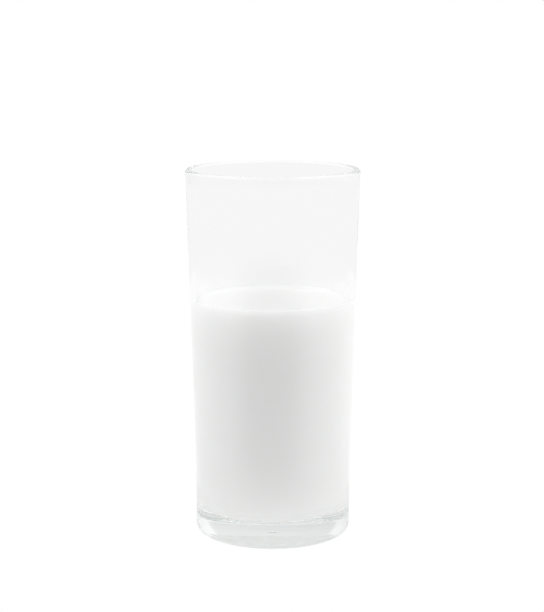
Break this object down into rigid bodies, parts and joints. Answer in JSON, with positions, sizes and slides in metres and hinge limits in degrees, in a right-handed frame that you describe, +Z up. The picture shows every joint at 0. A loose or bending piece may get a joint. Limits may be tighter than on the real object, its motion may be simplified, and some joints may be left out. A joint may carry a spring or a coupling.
{
  "type": "glass of milk",
  "caption": "Tall clear drinking glass with a thick base and rounded lip, filled with white milk to about two thirds of its height.",
  "frame": {"origin": "centre of the foot, on the surface that the glass stands on", "axes": "+Z up along the axis that the glass is turned about; +X and +Y are alike, because the part is round"},
  "size_m": [0.065, 0.065, 0.138],
  "materials": {
    "clear_glass": "clear and colourless soda-lime glass, fire-polished smooth",
    "milk": "opaque white liquid with a smooth wet surface"
  },
  "bodies": {
    "root": {"glass": "clear_glass", "milk": "milk"}
  },
  "joints": []
}
